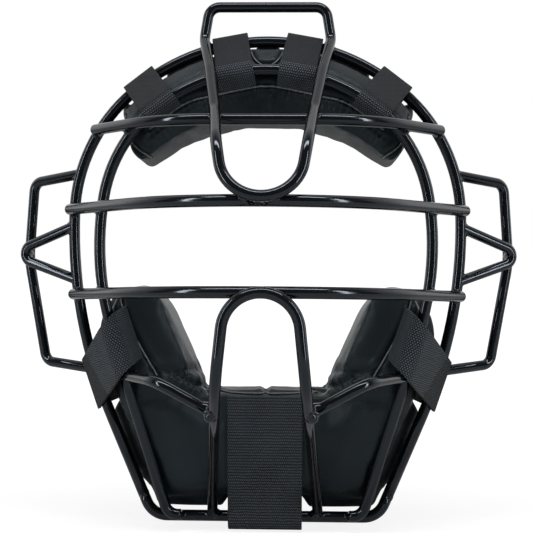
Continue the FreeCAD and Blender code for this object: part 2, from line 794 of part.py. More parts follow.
def tangent_heading(spot, centre, radius, turn):
    """The heading, from a circle's centre, of the point where a line from a spot touches it."""
    away = (spot[0] - centre[0], spot[1] - centre[1])
    return math.atan2(away[1], away[0]) + turn * math.acos(radius / math.hypot(*away))


def over_wires(start, wires, end_heading):
    """The middle line of a strap from its start over wires, as (start, end, centre) runs. Each
    wire is (centre, radius of the strap's middle line about it)."""
    runs = []
    centre, radius = wires[0]
    arrive = on_circle(centre, radius, tangent_heading(start, centre, radius, 1))
    runs.append((start, arrive, None))
    for (centre, radius), (following, following_radius) in zip(wires, wires[1:]):
        apart = (following[0] - centre[0], following[1] - centre[1])
        heading = math.atan2(apart[1], apart[0]) - math.acos((radius - following_radius) / math.hypot(*apart))
        leave = on_circle(centre, radius, heading)
        runs.append((arrive, leave, centre))
        arrive = on_circle(following, following_radius, heading)
        runs.append((leave, arrive, None))
    centre, radius = wires[-1]
    runs.append((arrive, on_circle(centre, radius, end_heading), centre))
    return runs


def ribbon(plane, runs, thick, round_start=False):
    """The outline of a ribbon of a thickness about its middle line."""
    half = thick / 2
    edges = []
    ends = []
    for start, end, centre in runs:
        if centre is None:
            long = math.hypot(end[0] - start[0], end[1] - start[1])
            square = ((start[1] - end[1]) / long, (end[0] - start[0]) / long)
            squares = (square, square)
        else:
            reach = math.hypot(start[0] - centre[0], start[1] - centre[1])
            squares = [((spot[0] - centre[0]) / reach, (spot[1] - centre[1]) / reach)
                       for spot in (start, end)]
        sides = []
        for off in (half, -half):
            sides.append([(spot[0] + way[0] * off, spot[1] + way[1] * off)
                          for spot, way in zip((start, end), squares)])
        for from_spot, to_spot in sides:
            if centre is None:
                edges.append(line(plane.place(from_spot), plane.place(to_spot)))
            else:
                edges.append(arc_about(plane.place(centre), plane.place(from_spot), plane.place(to_spot)))
        ends.append((sides[0][0], sides[1][0]))
        ends.append((sides[0][1], sides[1][1]))
    if round_start:
        first = runs[0][0]
        back = (first[0] - square[1] * half, first[1] + square[0] * half)
        edges.append(Part.Arc(plane.place(ends[0][0]), plane.place(back), plane.place(ends[0][1])).toShape())
    else:
        edges.append(line(plane.place(ends[0][0]), plane.place(ends[0][1])))
    edges.append(line(plane.place(ends[-1][0]), plane.place(ends[-1][1])))
    return Part.Face(Part.Wire(Part.__sortEdges__(edges)))


def strip(name, plane, face, above, below):
    """A side view given its width: so far above the plane and so far below it."""
    face.translate(plane.width_way * -above)
    body = doc.addObject("Part::Extrusion", name)
    body.Base = add_shape(name + "_side", face)
    body.Dir = plane.width_way
    body.LengthFwd = above + below
    body.Solid = True
    return body


def slanted(name, plane, body, width, slant):
    """The part of a strap body between two straight edges that slant down and outward."""
    slab = doc.addObject("Part::Box", name + "_slab")
    slab.Length = 2 * far
    slab.Width = 2 * far
    slab.Height = width
    turn = Rotation(Vector(0, 1, 0), slant)
    middle = plane.origin + plane.outward * wrap
    slab.Placement = FreeCAD.Placement(middle - turn.multVec(Vector(far, far, width / 2)), turn)
    return add_boolean("Common", name + "_slanted", body, slab)


def reach_past(wires, past):
    """How far in from the rim a strap starts, to be so far past the first wire it goes over."""
    (out, depth), radius = wires[0]
    return radius + past - out


def add_strap(name, plane, wires, reach, start_depth, width, pad, wall, slant=None, clear_of=None):
    """A strap's fixed band, from the pad over the wires, its tail, which peels open, and the
    hook-and-loop tape that holds the tail to the pad."""
    tape = size("tape")
    gap = size("webbing_gap")
    stack = webbing / 2 + tape + gap + tape
    rest_depth = pad_back - size("tape_margin")
    off_wall = stack / math.cos(math.radians(size("pad_draft")))
    rest = (off_wall - wall - (rest_depth - shoulder) * draft, rest_depth)
    centre, radius = wires[-1]
    hinge_heading = tangent_heading(rest, centre, radius, -1)
    hinge = on_circle(centre, radius, hinge_heading)
    end_heading = hinge_heading - (webbing / 2 + gap) / radius
    above = below = width / 2
    if slant:
        above, below = width + reach, width
    runs = over_wires((-reach, start_depth), wires, end_heading)
    band = strip(name + "_band", plane, ribbon(plane, runs, webbing), above, below)
    if slant:
        band = slanted(name, plane, band, width, slant)
        above, below = size("cheek_tail_above"), size("cheek_tail_below")
    if clear_of:
        band = add_boolean("Cut", name + "_notched", band, clear_of)
    finish(name + "_strap", band)
    long = math.hypot(rest[0] - hinge[0], rest[1] - hinge[1])
    way = ((rest[0] - hinge[0]) / long, (rest[1] - hinge[1]) / long)

    def laid(first, last, off):
        """A run of the tail's line, off to its inner side."""
        ends = [(hinge[0] + way[0] * at - way[1] * off, hinge[1] + way[1] * at + way[0] * off)
                for at in (first, last)]
        return [(ends[0], ends[1], None)]

    tail = ribbon(plane, laid(0, size("tail_length"), 0), webbing, True)
    finish(name + "_tail", strip(name + "_tail", plane, tail, above, below))
    above -= size("tape_margin")
    below -= size("tape_margin")
    first = size("tape_start")
    last = first + size("tape_length")
    hook = ribbon(plane, laid(first, last, (webbing + tape) / 2), tape)
    finish(name + "_hook_tape", strip(name + "_hook", plane, hook, above, below))
    bed = size("tape_bed")
    loop = ribbon(plane, laid(first, last, webbing / 2 + tape + gap + bed / 2), bed)
    loop = add_boolean("Cut", name + "_loop_seated", strip(name + "_loop", plane, loop, above, below), pad)
    finish(name + "_loop_tape", loop)


def across_plane(path_point, sign):
    """A strap's plane at a place on the right half of the outer rim, or on its other side."""
    spot, way = path_point
    return StrapPlane(Vector(sign * spot.x, spot.y, spot.z), Vector(sign * way.x, way.y, way.z))


strap_start = pad_front - webbing / 2
lifted = wrap + size("webbing_lift")
on_rim = ((0, 0), wrap)
top_place = at_width(outer_path, size("top_strap_half"))
side_place = at_width(outer_path, size("side_strap_half"))
cheek_place = at_height(outer_path, -size("cheek_strap_drop"))
for side, sign in (("right", 1), ("left", -1)):
    turn = (lambda path: path) if side == "right" else mirrored
    for name, place in (("top", top_place), ("side", side_place)):
        plane = across_plane(place, sign)
        wires = [(plane.meets(inner_path), lifted), on_rim]
        reach = reach_past(wires, size(f"{name}_strap_past"))
        add_strap(f"{name}_{side}", plane, wires, reach, strap_start, size("narrow_strap"),
                  pads["forehead_pad"], size("brow_pad_to_rim"))
    plane = across_plane(cheek_place, sign)
    wires = [(plane.meets(turn(cheek_path)), lifted), on_rim]
    reach = reach_past(wires, size("cheek_strap_past"))
    ear_room = add_wire(f"ear_room_{side}", turn(ear_path), "loop_wire")
    slant = size("cheek_strap_slant") if sign > 0 else 180 - size("cheek_strap_slant")
    add_strap(f"cheek_{side}", plane, wires, reach, strap_start, size("cheek_strap"),
              pads["chin_pad"], size("chin_pad_to_rim"), slant, ear_room)
plane = StrapPlane(Vector(0, 0, chin_level), across)
chin_start = lean_front(chin_level + size("chin_strap_reach")) - webbing / 2
add_strap("chin", plane, [((0, 0), size("chin_fold_radius"))], size("chin_strap_reach"), chin_start,
          size("chin_strap"), pads["chin_pad"], bar_radius + size("chin_pad_to_bar"))

# Checks and export -----------------------------------------------------------------------------

doc.recompute()
for item in doc.Objects:
    if "Invalid" in item.State or "Error" in item.State:
        raise RuntimeError(f"{item.Name} did not compute")
for name, piece in finished.items():
    if piece.Shape.isNull() or not piece.Shape.isValid() or len(piece.Shape.Solids) != 1:
        raise RuntimeError(f"{name} is not one valid solid")
os.makedirs("parts", exist_ok=True)
for name, piece in finished.items():
    piece.Shape.exportStep(f"parts/{name}.step")
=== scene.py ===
"""Catcher's face mask: a welded wire cage with two leatherette pads strapped into it."""
import itertools
import math

import bmesh
import bpy
from mathutils import Matrix, Vector, noise
from mathutils.bvhtree import BVHTree
from mathutils.kdtree import KDTree


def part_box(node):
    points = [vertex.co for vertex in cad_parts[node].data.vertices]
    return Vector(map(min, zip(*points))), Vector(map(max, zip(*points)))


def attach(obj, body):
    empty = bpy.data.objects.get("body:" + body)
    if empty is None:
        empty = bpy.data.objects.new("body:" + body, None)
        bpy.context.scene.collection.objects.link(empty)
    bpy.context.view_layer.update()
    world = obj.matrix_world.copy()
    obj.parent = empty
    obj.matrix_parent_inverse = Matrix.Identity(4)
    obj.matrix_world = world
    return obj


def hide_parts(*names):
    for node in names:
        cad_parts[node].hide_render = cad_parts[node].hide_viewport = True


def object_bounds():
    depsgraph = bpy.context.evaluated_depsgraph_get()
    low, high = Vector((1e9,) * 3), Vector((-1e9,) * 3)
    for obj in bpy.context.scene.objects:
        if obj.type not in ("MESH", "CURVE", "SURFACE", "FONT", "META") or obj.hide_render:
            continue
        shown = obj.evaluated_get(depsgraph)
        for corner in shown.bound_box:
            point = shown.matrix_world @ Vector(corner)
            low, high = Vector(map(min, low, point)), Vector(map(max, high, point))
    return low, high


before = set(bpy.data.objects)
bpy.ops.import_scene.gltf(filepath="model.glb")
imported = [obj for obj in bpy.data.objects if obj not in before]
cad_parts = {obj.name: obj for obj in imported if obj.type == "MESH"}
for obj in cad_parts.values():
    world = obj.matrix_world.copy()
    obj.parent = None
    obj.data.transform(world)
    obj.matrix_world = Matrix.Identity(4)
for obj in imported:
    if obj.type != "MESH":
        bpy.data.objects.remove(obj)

cad_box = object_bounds()

# Camera -------------------------------------------------------------------------------------
# Straight in front of the mask and a touch to its right, at the height of the face opening.

camera = bpy.data.objects.new("camera", bpy.data.cameras.new("camera"))
bpy.context.collection.objects.link(camera)
camera.data.sensor_width = 36
camera.data.lens = 78.08
camera.data.shift_y = 0.0116
camera.data.clip_start = 0.01
swing = Matrix.Rotation(math.radians(1.7), 4, "Z")
roll = Matrix.Rotation(math.radians(0.33), 4, "Z")
camera.matrix_world = swing @ Matrix.Translation((0, -0.63, 0)) @ Matrix.Rotation(math.pi / 2, 4, "X") @ roll
bpy.context.scene.camera = camera
bpy.context.scene.view_settings.view_transform = "Standard"

# Materials are drawn with one small language ------------------------------------------------
# A Wire is one output of a node, and sums on Wires add the Math nodes that work them out.
# A colour Mix node's sockets go by number, because every kind of Mix shares their names.

MIX_SHARE, MIX_DARK, MIX_LIGHT, MIX_COLOUR = 0, 6, 7, 2


class Wire:
    def __init__(self, tree, socket):
        self.tree = tree
        self.socket = socket

    def maths(self, operation, *others, swapped=False):
        terms = [self, *others]
        if swapped:
            terms.reverse()
        return self.tree.node("ShaderNodeMath", {"operation": operation}, dict(enumerate(terms)))

    def __add__(self, other):
        return self.maths("ADD", other)

    def __radd__(self, other):
        return self.maths("ADD", other)

    def __sub__(self, other):
        return self.maths("SUBTRACT", other)

    def __rsub__(self, other):
        return self.maths("SUBTRACT", other, swapped=True)

    def __mul__(self, other):
        return self.maths("MULTIPLY", other)

    def __rmul__(self, other):
        return self.maths("MULTIPLY", other)

    def __truediv__(self, other):
        return self.maths("DIVIDE", other)

    def __pow__(self, other):
        return self.maths("POWER", other)

    def __mod__(self, other):
        return self.maths("FLOORED_MODULO", other)


class Finish:
    """A material, or the world, whose nodes are added one at a time."""

    def __init__(self, block):
        self.block = block
        block.use_nodes = True
        self.nodes = block.node_tree.nodes
        self.nodes.clear()

    def node(self, kind, settings=None, inputs=None, output=0):
        made = self.nodes.new(kind)
        for name, value in (settings or {}).items():
            setattr(made, name, value)
        for name, value in (inputs or {}).items():
            if isinstance(value, Wire):
                self.block.node_tree.links.new(value.socket, made.inputs[name])
            else:
                made.inputs[name].default_value = value
        return Wire(self, made.outputs[output])

    def surface(self, shader, end="ShaderNodeOutputMaterial"):
        self.block.node_tree.links.new(shader.socket, self.nodes.new(end).inputs["Surface"])
        return self.block


# Studio: a pale floor, a white surround and five soft lamps ----------------------------------
# The surround is white to the camera and in glass. In gloss it is white behind the mask and dim
# in front. It lights the mask only softly. The floor is white but for the mask's soft shadow.

floor_level = cad_box[0].z - 0.0008
floor_mesh = bmesh.new()
bmesh.ops.create_grid(floor_mesh, x_segments=1, y_segments=1, size=30)
floor = bpy.data.objects.new("floor", bpy.data.meshes.new("floor"))
bmesh.ops.translate(floor_mesh, verts=floor_mesh.verts, vec=(0, 0, floor_level))
floor_mesh.to_mesh(floor.data)
floor_mesh.free()
bpy.context.collection.objects.link(floor)
paper = Finish(bpy.data.materials.new("floor_paper"))
seen = paper.node("ShaderNodeLightPath", output="Is Camera Ray")
spot = paper.node("ShaderNodeTexCoord", output="Object")
away = paper.node("ShaderNodeMapRange", {"interpolation_type": "SMOOTHSTEP"}, {
    "Value": paper.node("ShaderNodeVectorMath", {"operation": "LENGTH"}, {0: spot}, output="Value"),
    "From Min": 0.2, "From Max": 0.8, "To Min": 0.75, "To Max": 1.0})
matt = paper.node("ShaderNodeBsdfDiffuse", inputs={"Color": (0.7, 0.7, 0.7, 1)})
bright = paper.node("ShaderNodeEmission", inputs={"Color": (1, 1, 1, 1), "Strength": 1.13})
floor.data.materials.append(paper.surface(
    paper.node("ShaderNodeMixShader", inputs={0: seen * away, 1: matt, 2: bright})))

surround = Finish(bpy.data.worlds.new("surround"))
camera_sees = surround.node("ShaderNodeLightPath", output="Is Camera Ray")
glass_shows = surround.node("ShaderNodeLightPath", output="Is Transmission Ray")
gloss_shows = surround.node("ShaderNodeLightPath", output="Is Glossy Ray")
way = surround.node("ShaderNodeTexCoord", output="Generated")
behind = surround.node("ShaderNodeMapRange", {"interpolation_type": "SMOOTHSTEP"}, {
    "Value": surround.node("ShaderNodeSeparateXYZ", inputs={"Vector": way}, output="Y"),
    "From Min": -0.2, "From Max": 0.3, "To Min": 0.05, "To Max": 1.0})
strength = (camera_sees + glass_shows + gloss_shows * behind) * 0.9 + 0.1
bpy.context.scene.world = surround.surface(
    surround.node("ShaderNodeBackground", inputs={"Color": (1, 1, 1, 1), "Strength": strength}),
    "ShaderNodeOutputWorld")


def soft_lamp(name, place, aim, width, height, power):
    lamp = bpy.data.objects.new(name, bpy.data.lights.new(name, "AREA"))
    lamp.data.shape = "RECTANGLE"
    lamp.data.size = width
    lamp.data.size_y = height
    lamp.data.energy = power
    lamp.location = place
    lamp.rotation_euler = (Vector(aim) - Vector(place)).to_track_quat("-Z", "Y").to_euler()
    bpy.context.collection.objects.link(lamp)


soft_lamp("top_lamp", (0, -0.45, 1.2), (0, 0, 0), 1.4, 0.2, 17)
soft_lamp("left_lamp", (-1.0, -0.8, 0.3), (0, 0, 0), 0.12, 1.2, 10)
soft_lamp("right_lamp", (1.0, -0.8, 0.3), (0, 0, 0), 0.12, 1.2, 10)
soft_lamp("left_wall", (-1.3, 0.2, 0.3), (0, 0, 0), 1.2, 1.4, 4)
soft_lamp("right_wall", (1.3, 0.2, 0.3), (0, 0, 0), 1.2, 1.4, 4)

# Cage: bent steel wire under a thick gloss black coat ----------------------------------------
# Each wire is a smooth copy of its CAD node. The coat bridges the crease at every weld.

coat = Finish(bpy.data.materials.new("gloss_black_coat"))
where = coat.node("ShaderNodeTexCoord", output="Object")
ripple = coat.node("ShaderNodeTexNoise", inputs={"Vector": where, "Scale": 260.0, "Detail": 2.0})
dust = coat.node("ShaderNodeTexNoise", inputs={"Vector": where, "Scale": 90.0, "Detail": 6.0})
relief = coat.node("ShaderNodeBump", inputs={"Height": ripple, "Strength": 0.06, "Distance": 0.0006})
gloss_black = coat.surface(coat.node("ShaderNodeBsdfPrincipled", inputs={
    "Base Color": (0.002, 0.0024, 0.0034, 1),
    "Roughness": 0.08 + dust * 0.08,
    "IOR": 1.5,
    "Specular IOR Level": 0.34,
    "Specular Tint": (0.78, 0.88, 1, 1),
    "Normal": relief}))

WIRES = [
    "outer_rim", "chin_bar", "inner_rim", "brow_bar", "eye_bar", "mouth_bar", "crown_loop", "lower_u",
    "cheek_bar_right", "cheek_bar_left", "ear_guard_right", "ear_guard_left",
    "harness_loop_right", "harness_loop_left"]


def merged(node):
    """A node's mesh with its loose triangles joined up."""
    bm = bmesh.new()
    bm.from_mesh(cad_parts[node].data)
    bmesh.ops.remove_doubles(bm, verts=bm.verts, dist=2e-6)
    return bm


def piece(name, bm, material, body):
    mesh = bpy.data.meshes.new(name)
    bm.to_mesh(mesh)
    bm.free()
    mesh.materials.append(material)
    mesh.shade_smooth()
    made = bpy.data.objects.new(name, mesh)
    bpy.context.collection.objects.link(made)
    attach(made, body)
    return made


for wire in WIRES:
    made = piece(wire + "_coated", merged(wire), gloss_black, "frame_and_pads")
    made.data.set_sharp_from_angle(angle=math.radians(38))
    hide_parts(wire)

# Pads: foam under black leatherette, one on the forehead and one round the chin and cheeks -----
# Each is blown up a little from its CAD skin, as stuffing does, and its panels' seams pull it in.

PAD_SHRINK = 0.0012
PAD_BLOWN_MOST = 0.004
CLOTH_FRAMES = 20
GATHER_PITCH = 0.0032
GATHER_REACH = 0.0032

grain = Finish(bpy.data.materials.new("black_leatherette"))
where = grain.node("ShaderNodeTexCoord", output="Object")
pores = grain.node(
    "ShaderNodeTexVoronoi", {"feature": "DISTANCE_TO_EDGE"}, {"Vector": where, "Scale": 1100.0})
creases = grain.node("ShaderNodeTexNoise", inputs={"Vector": where, "Scale": 420.0, "Detail": 5.0})
tone_and_painted_sheen_patches = grain.node("ShaderNodeTexNoise", inputs={"Vector": where, "Scale": 16.0, "Detail": 3.0})
height = pores ** 0.5 * 0.6 + creases * 0.5
relief = grain.node("ShaderNodeBump", inputs={"Height": height, "Strength": 0.35, "Distance": 0.0004})
# Large random patches lighten and darken the leather: partly its own uneven tone, partly a painted sheen and
# painted shade across the panels.
tone = grain.node("ShaderNodeMix", {"data_type": "RGBA"}, {
    MIX_SHARE: tone_and_painted_sheen_patches * 1.6 - 0.3,
    MIX_DARK: (0.001, 0.0016, 0.0021, 1),
    MIX_LIGHT: (0.0105, 0.0145, 0.018, 1)}, output=MIX_COLOUR)
leatherette = grain.surface(grain.node("ShaderNodeBsdfPrincipled", inputs={
    "Base Color": tone,
    "Roughness": 0.3 + creases * 0.16,
    "Specular IOR Level": 0.17,
    "Specular Tint": (0.78, 0.94, 1, 1),
    "Normal": relief}))

# The welts are the pad's own black leatherette, painted several times lighter: a painted highlight along
# each seam, mottled at random.
painted_sheen_welt = Finish(bpy.data.materials.new("welt_leatherette"))
where = painted_sheen_welt.node("ShaderNodeTexCoord", output="Object")
welt_mottle = painted_sheen_welt.node("ShaderNodeTexNoise", inputs={"Vector": where, "Scale": 500.0, "Detail": 4.0})
relief = painted_sheen_welt.node("ShaderNodeBump", inputs={"Height": welt_mottle, "Strength": 0.3, "Distance": 0.0003})
tone = painted_sheen_welt.node("ShaderNodeMix", {"data_type": "RGBA"}, {
    MIX_SHARE: welt_mottle,
    MIX_DARK: (0.03, 0.034, 0.036, 1),
    MIX_LIGHT: (0.09, 0.098, 0.1, 1)}, output=MIX_COLOUR)
welt_leather = painted_sheen_welt.surface(painted_sheen_welt.node("ShaderNodeBsdfPrincipled", inputs={
    "Base Color": tone,
    "Roughness": 0.3 + welt_mottle * 0.2,
    "Normal": relief}))


def outer_skin(node):
    """The outside of a hollow pad cover."""
    bm = merged(node)
    bm.verts.ensure_lookup_table()
    reached = {max(bm.verts, key=lambda vertex: vertex.co.z)}
    edge = list(reached)
    while edge:
        vertex = edge.pop()
        for joined in vertex.link_edges:
            other = joined.other_vert(vertex)
            if other not in reached:
                reached.add(other)
                edge.append(other)
    hollow = [vertex for vertex in bm.verts if vertex not in reached]
    bmesh.ops.delete(bm, geom=hollow, context="VERTS")
    return bm


def applied(made):
    """The piece with its modifiers worked into its mesh."""
    seen_now = made.evaluated_get(bpy.context.evaluated_depsgraph_get())
    mesh = bpy.data.meshes.new_from_object(seen_now)
    made.modifiers.clear()
    made.data = mesh
    return mesh


def stuffed(name):
    """A pad blown up from its CAD skin, which is first drawn in a little. No point of it goes
    further than a limit from where it started."""
    made = piece(name, outer_skin(name + "_cover"), leatherette, "frame_and_pads")
    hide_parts(name + "_cover", name + "_foam")
    remesh = made.modifiers.new("remesh", "REMESH")
    remesh.mode = "VOXEL"
    remesh.voxel_size = 0.0035
    mesh = applied(made)
    shrink = bmesh.new()
    shrink.from_mesh(mesh)
    for vertex in shrink.verts:
        vertex.co -= vertex.normal * PAD_SHRINK
    shrink.to_mesh(mesh)
    shrink.free()
    begun = [vertex.co.copy() for vertex in mesh.vertices]
    cloth = made.modifiers.new("cloth", "CLOTH")
    cloth.settings.use_pressure = True
    cloth.settings.uniform_pressure_force = 4
    cloth.settings.effector_weights.gravity = 0
    cloth.point_cache.frame_start = 1
    cloth.point_cache.frame_end = CLOTH_FRAMES
    for frame_number in range(1, CLOTH_FRAMES + 1):
        bpy.context.scene.frame_set(frame_number)
    mesh = applied(made)
    bpy.context.scene.frame_set(1)
    for vertex, before in zip(mesh.vertices, begun):
        moved = vertex.co - before
        if moved.length > PAD_BLOWN_MOST:
            vertex.co = before + moved * (PAD_BLOWN_MOST / moved.length)
    smooth = made.modifiers.new("smooth", "SUBSURF")
    smooth.levels = 2
    smooth.render_levels = 2
    applied(made)
    return made


def traced(points):
    """Close spots on a smooth line through places across and up, in millimetres."""
    curve = bpy.data.curves.new("line", "CURVE")
    curve.dimensions = "3D"
    curve.resolution_u = 24
    spline = curve.splines.new("NURBS")
    spline.points.add(len(points) - 1)
    for point, (across, up) in zip(spline.points, points):
        point.co = (across / 1000, -0.1, up / 1000, 1)
    spline.order_u = 3
    spline.use_endpoint_u = True
    mesh = bpy.data.meshes.new_from_object(bpy.data.objects.new("line", curve))
    return [vertex.co.copy() for vertex in mesh.vertices]


def both_hands(points):
    """A line and its mirror image."""
    return [points, [(-across, up) for across, up in points]]


def mirrored(half):
    """One line, from the mirror image of its right half to that half, which starts midway."""
    return [(-across, up) for across, up in half[:0:-1]] + half


def draped(pad, line):
    """A line dropped onto the front of a pad."""
    bm = bmesh.new()
    bm.from_mesh(pad.data)
    tree = BVHTree.FromBMesh(bm)
    bm.free()
    dropped = [tree.ray_cast(spot, Vector((0, 1, 0)))[0] for spot in line]
    return [spot for spot in dropped if spot]


def shifted(pad, shift):
    """Shift each vertex of a pad by what a function of the vertex gives."""
    moves = [shift(vertex) for vertex in pad.data.vertices]
    for vertex, move in zip(pad.data.vertices, moves):
        vertex.co += move


def worked(pad, line, depth, width, puff=0.0, gather=0.0):
    """Press a groove along a line, with puffed leather beside it and gathers across it. A depth
    below nothing raises a ridge."""
    spots = draped(pad, line)
    near = KDTree(len(spots))
    along = [0.0]
    for spot, following in zip(spots, spots[1:]):
        along.append(along[-1] + (following - spot).length)
    for number, spot in enumerate(spots):
        near.insert(spot, number)
    near.balance()

    def shift(vertex):
        spot, number, gap = near.find(vertex.co)
        move = puff * math.exp(-((gap / width - 2.6) / 1.4) ** 2) - depth * math.exp(-(gap / width) ** 2)
        if gather:
            phase = along[number] / GATHER_PITCH * math.tau + 3 * noise.noise(vertex.co * 90)
            move += gather * math.sin(phase) * math.exp(-((gap - 0.0025) / GATHER_REACH) ** 2)
        return vertex.normal * move

    shifted(pad, shift)


def crumpled(pad, centre, reach, height):
    """Creases in the leather round a spot."""

    def shift(vertex):
        gap = (vertex.co - Vector(centre)).length
        if gap > 2 * reach:
            return Vector()
        fold = noise.ridged_multi_fractal(vertex.co * 110, 0.9, 2.1, 3, 0.9, 2.0)
        return vertex.normal * (fold - 1.0) * height * math.exp(-(gap / reach) ** 2)

    shifted(pad, shift)


def eased(share):
    """From 0 to 1 with no corners."""
    share = min(max(share, 0.0), 1.0)
    return share * share * (3 - 2 * share)


def filled_out(pad, swell, tails):
    """Behind the rim a pad swells outward, by what a function of its height gives, but not under
    the straps' tails, each at a place across and up, with its width's way and half its width."""

    def shift(vertex):
        across, back, up = vertex.co
        outward = Vector((across, 0, up)).normalized()
        share = eased((back - 0.0005) / 0.005)
        for (tail_across, tail_up), (way_across, way_up), half in tails:
            gap = abs((abs(across) - tail_across) * way_across + (up - tail_up) * way_up)
            share *= eased((gap - half) / 0.004)
        return outward * swell(up) * share * max(vertex.normal.dot(outward), 0.0)

    shifted(pad, shift)


def strapped(pad, half, edge, line):
    """Press the front of a pad in under a strap, whose underside is a line seen from the side."""
    (low_up, low_back), (high_up, high_back) = line
    for vertex in pad.data.vertices:
        across, back, up = vertex.co
        share = eased((half + edge - abs(across)) / edge) * eased((up - low_up) / 0.002)
        under = high_back + (low_back - high_back) * (high_up - up) / (high_up - low_up)
        if up < high_up and back < under and share:
            vertex.co.y += (under - back) * share


def welted(name, pad, line, thick):
    """A rolled welt of leather, sewn into a groove."""
    spots = [spot - Vector((0, thick * 0.8, 0)) for spot in draped(pad, line)]
    curve = bpy.data.curves.new(name, "CURVE")
    curve.dimensions = "3D"
    curve.bevel_depth = thick / 2
    curve.bevel_resolution = 3
    curve.use_fill_caps = True
    spline = curve.splines.new("POLY")
    spline.points.add(len(spots) - 1)
    for point, spot in zip(spline.points, spots):
        point.co = (*spot, 1)
    bm = bmesh.new()
    bm.from_mesh(bpy.data.meshes.new_from_object(bpy.data.objects.new(name, curve)))
    bmesh.ops.remove_doubles(bm, verts=bm.verts, dist=1e-6)
    bmesh.ops.recalc_face_normals(bm, faces=bm.faces)
    made = piece(name, bm, welt_leather, "frame_and_pads")


forehead_pad = stuffed("forehead_pad")
chin_pad = stuffed("chin_pad")

TOP_TAIL = ((0.0198, 0.124), (0.984, -0.177), 0.0105)
SIDE_TAIL = ((0.068, 0.1028), (0.795, -0.607), 0.0105)
CHEEK_TAIL = ((0.0951, -0.0612), (0.321, 0.947), 0.0115)
CHIN_TAIL = ((0, -0.13), (1, 0), 0.0195)


def brow_swell(up):
    """Full above the forehead pad's lower corners."""
    return 0.006 * eased((up - 0.06) / 0.008)


def chin_swell(up):
    """Fullest at the jaw, and less again toward the foot of the chin pad."""
    return 0.007 + 0.003 * eased((-0.07 - up) / 0.03) - 0.004 * eased((-0.105 - up) / 0.01)


filled_out(forehead_pad, brow_swell, [TOP_TAIL, SIDE_TAIL])
filled_out(chin_pad, chin_swell, [CHEEK_TAIL, CHIN_TAIL])
strapped(chin_pad, 0.0205, 0.004, [(-0.128, -0.0062), (-0.0655, -0.0139)])

# The lip of the chin pad is a fuller roll than its foam, in two halves.
for vertex in chin_pad.data.vertices:
    across, back, up = vertex.co
    rise = eased((up + 0.078) / 0.013) * eased((0.036 - abs(across)) / 0.008)
    vertex.co.z += 0.0036 * rise * (1 - 0.45 * math.exp(-(across / 0.0022) ** 2))

# Seams, as places across and up in millimetres.
BROW_SEAM = mirrored([
    (0, 98.6), (6, 98), (14.5, 96.4), (24, 94.3), (30, 92.8), (38, 91.4), (45, 88.4), (53, 82.6),
    (62, 75.5)])
BROW_BINDING = [(across, up - 3.9) for across, up in BROW_SEAM]
THROAT_SEAM = mirrored([(0, 109.2), (3.6, 110.2), (7, 113.5), (8.6, 118)])
MIDDLE_SEAM = [(0, 98.5), (0.3, 93), (0, 84)]
TIP_SEAM = [(76, 84), (74, 73), (69, 65), (62, 61.5)]
RIDGE_SEAM = [(78, -11), (76, -19), (72, -28.5), (66, -40), (60, -50), (57.5, -55)]
LIP_SEAM = mirrored([(0, -65.2), (14, -65), (28, -64.3)])
LIP_NOTCH = [(0, -59), (0.2, -62), (0, -65)]
CORNER_SEAM = [(47, -55), (41, -58.5), (35, -62), (29.5, -64.8)]
FOLD = [(60, -52), (52, -53.5), (44, -53.5), (37, -52)]
CHEEK_RIDGE = [(48, -66), (46, -80), (44, -98), (42, -112)]

for line in [BROW_SEAM, MIDDLE_SEAM, THROAT_SEAM]:
    worked(forehead_pad, traced(line), 0.0009, 0.0013, 0.0005)
worked(forehead_pad, traced(BROW_BINDING), 0.0008, 0.0009, 0.0004, 0.0005)
for line in both_hands(TIP_SEAM):
    worked(forehead_pad, traced(line), 0.0008, 0.0012, 0.0003)
for line in both_hands(CHEEK_RIDGE):
    worked(chin_pad, traced(line), -0.0015, 0.009)
for line in both_hands(FOLD):
    worked(chin_pad, traced(line), 0.0011, 0.0018, 0.0006)
for line in both_hands(RIDGE_SEAM) + [LIP_SEAM, LIP_NOTCH]:
    worked(chin_pad, traced(line), 0.0009, 0.0013, 0.0004)
for line in both_hands(CORNER_SEAM):
    worked(chin_pad, traced(line), 0.0012, 0.0014, 0.0004, 0.0007)
for side in (-1, 1):
    crumpled(chin_pad, (0.053 * side, -0.016, -0.063), 0.009, 0.0016)
forehead_pad.data.shade_smooth()
chin_pad.data.shade_smooth()

welted("brow_welt", forehead_pad, traced(BROW_SEAM), 0.0011)
welted("throat_welt", forehead_pad, traced(THROAT_SEAM), 0.0010)
for side, tip, ridge in zip(("right", "left"), both_hands(TIP_SEAM), both_hands(RIDGE_SEAM)):
    welted(f"tip_welt_{side}", forehead_pad, traced(tip), 0.0009)
    welted(f"ridge_welt_{side}", chin_pad, traced(ridge), 0.0011)
welted("lip_welt", chin_pad, traced(LIP_SEAM), 0.0010)

# Welds: the coat runs smoothly over the crease wherever two wires meet -------------------------
# Around each meeting, short lengths of the wires are joined, remeshed and smoothed: that sinks
# the joined lengths just under the wires, and only the filled crease is left in sight.

WIRE_RADIUS = 0.003
JOINT_BALL = 0.0031
JOINT_REACH = 0.0078
ONE_MEETING = 0.008

